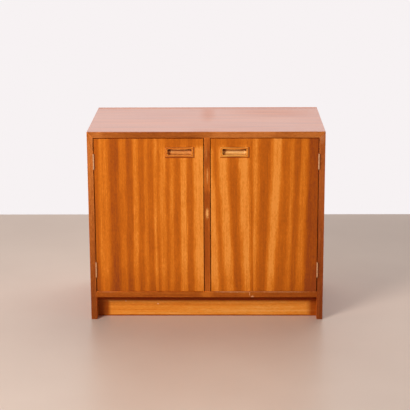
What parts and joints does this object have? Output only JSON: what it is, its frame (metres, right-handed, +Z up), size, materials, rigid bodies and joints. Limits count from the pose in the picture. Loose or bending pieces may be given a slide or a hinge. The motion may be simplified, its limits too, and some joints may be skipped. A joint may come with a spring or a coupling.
{
  "type": "record cabinet",
  "caption": "Free-standing record cabinet with hinged inset doors, let-in finger pulls, record partitions under a fixed shelf in each bay and a set-back plinth.",
  "frame": {"origin": "on the floor under the middle of the case", "axes": "+X to the right as seen from the front, the doors face -Y, +Z up"},
  "size_m": [0.762, 0.4373, 0.63],
  "materials": {
    "case_veneer": "satin, veneered board",
    "door_veneer": "satin, ribbon-striped veneer",
    "lipping_wood": "satin, solid wood",
    "plinth_wood": "satin, solid wood",
    "pull_wood": "satin, solid wood",
    "pale_wood": "unfinished softwood",
    "back_board": "unfinished plywood",
    "partition_board": "satin plywood",
    "hinge_metal": "satin, slightly dulled",
    "hinge_pins": "satin",
    "brass_screws": "satin",
    "zinc_screws": "zinc plated",
    "strike_steel": "zinc plated",
    "pole_steel": "bare steel",
    "catch_plastic": "brown moulded"
  },
  "bodies": {
    "carcass": {"back_panel": "back_board", "back_panel_screws": "zinc_screws", "bottom_lipping": "lipping_wood", "bottom_panel": "case_veneer", "catch_pole_plates": "pole_steel", "catch_screws": "zinc_screws", "centre_divider": "case_veneer", "divider_lipping": "lipping_wood", "frame_leaf_screws": "brass_screws", "left_catch_body": "catch_plastic", "left_hinge_pins": "hinge_pins", "left_lower_frame_leaf": "hinge_metal", "left_record_partition_1": "partition_board", "left_record_partition_2": "partition_board", "left_shelf": "case_veneer", "left_shelf_lipping": "lipping_wood", "left_side_lipping": "lipping_wood", "left_side_panel": "case_veneer", "left_upper_frame_leaf": "hinge_metal", "mitre_tongues": "pale_wood", "plinth_board": "plinth_wood", "plinth_glue_blocks": "pale_wood", "rear_plinth_rail": "pale_wood", "right_catch_body": "catch_plastic", "right_hinge_pins": "hinge_pins", "right_lower_frame_leaf": "hinge_metal", "right_record_partition_1": "partition_board", "right_record_partition_2": "partition_board", "right_shelf": "case_veneer", "right_shelf_lipping": "lipping_wood", "right_side_lipping": "lipping_wood", "right_side_panel": "case_veneer", "right_upper_frame_leaf": "hinge_metal", "top_lipping": "lipping_wood", "top_panel": "case_veneer"},
    "left_door": {"left_door_bottom_lipping": "lipping_wood", "left_door_hinge_lipping": "lipping_wood", "left_door_leaf_screws": "brass_screws", "left_door_meeting_lipping": "lipping_wood", "left_door_panel": "door_veneer", "left_door_top_lipping": "lipping_wood", "left_lower_door_leaf": "hinge_metal", "left_pull": "pull_wood", "left_strike_plate": "strike_steel", "left_strike_screw": "zinc_screws", "left_upper_door_leaf": "hinge_metal"},
    "right_door": {"right_door_bottom_lipping": "lipping_wood", "right_door_hinge_lipping": "lipping_wood", "right_door_leaf_screws": "brass_screws", "right_door_meeting_lipping": "lipping_wood", "right_door_panel": "door_veneer", "right_door_top_lipping": "lipping_wood", "right_lower_door_leaf": "hinge_metal", "right_pull": "pull_wood", "right_strike_plate": "strike_steel", "right_strike_screw": "zinc_screws", "right_upper_door_leaf": "hinge_metal"}
  },
  "joints": [
    {"name": "left_door_hinge", "type": "hinge", "parent": "carcass", "child": "left_door", "pos_m": [-0.36075, -0.2188, 0.353], "axis": [0, 0, -1], "range_deg": [0, 190]},
    {"name": "right_door_hinge", "type": "hinge", "parent": "carcass", "child": "right_door", "pos_m": [0.36075, -0.2188, 0.353], "axis": [0, 0, 1], "range_deg": [0, 190]}
  ]
}
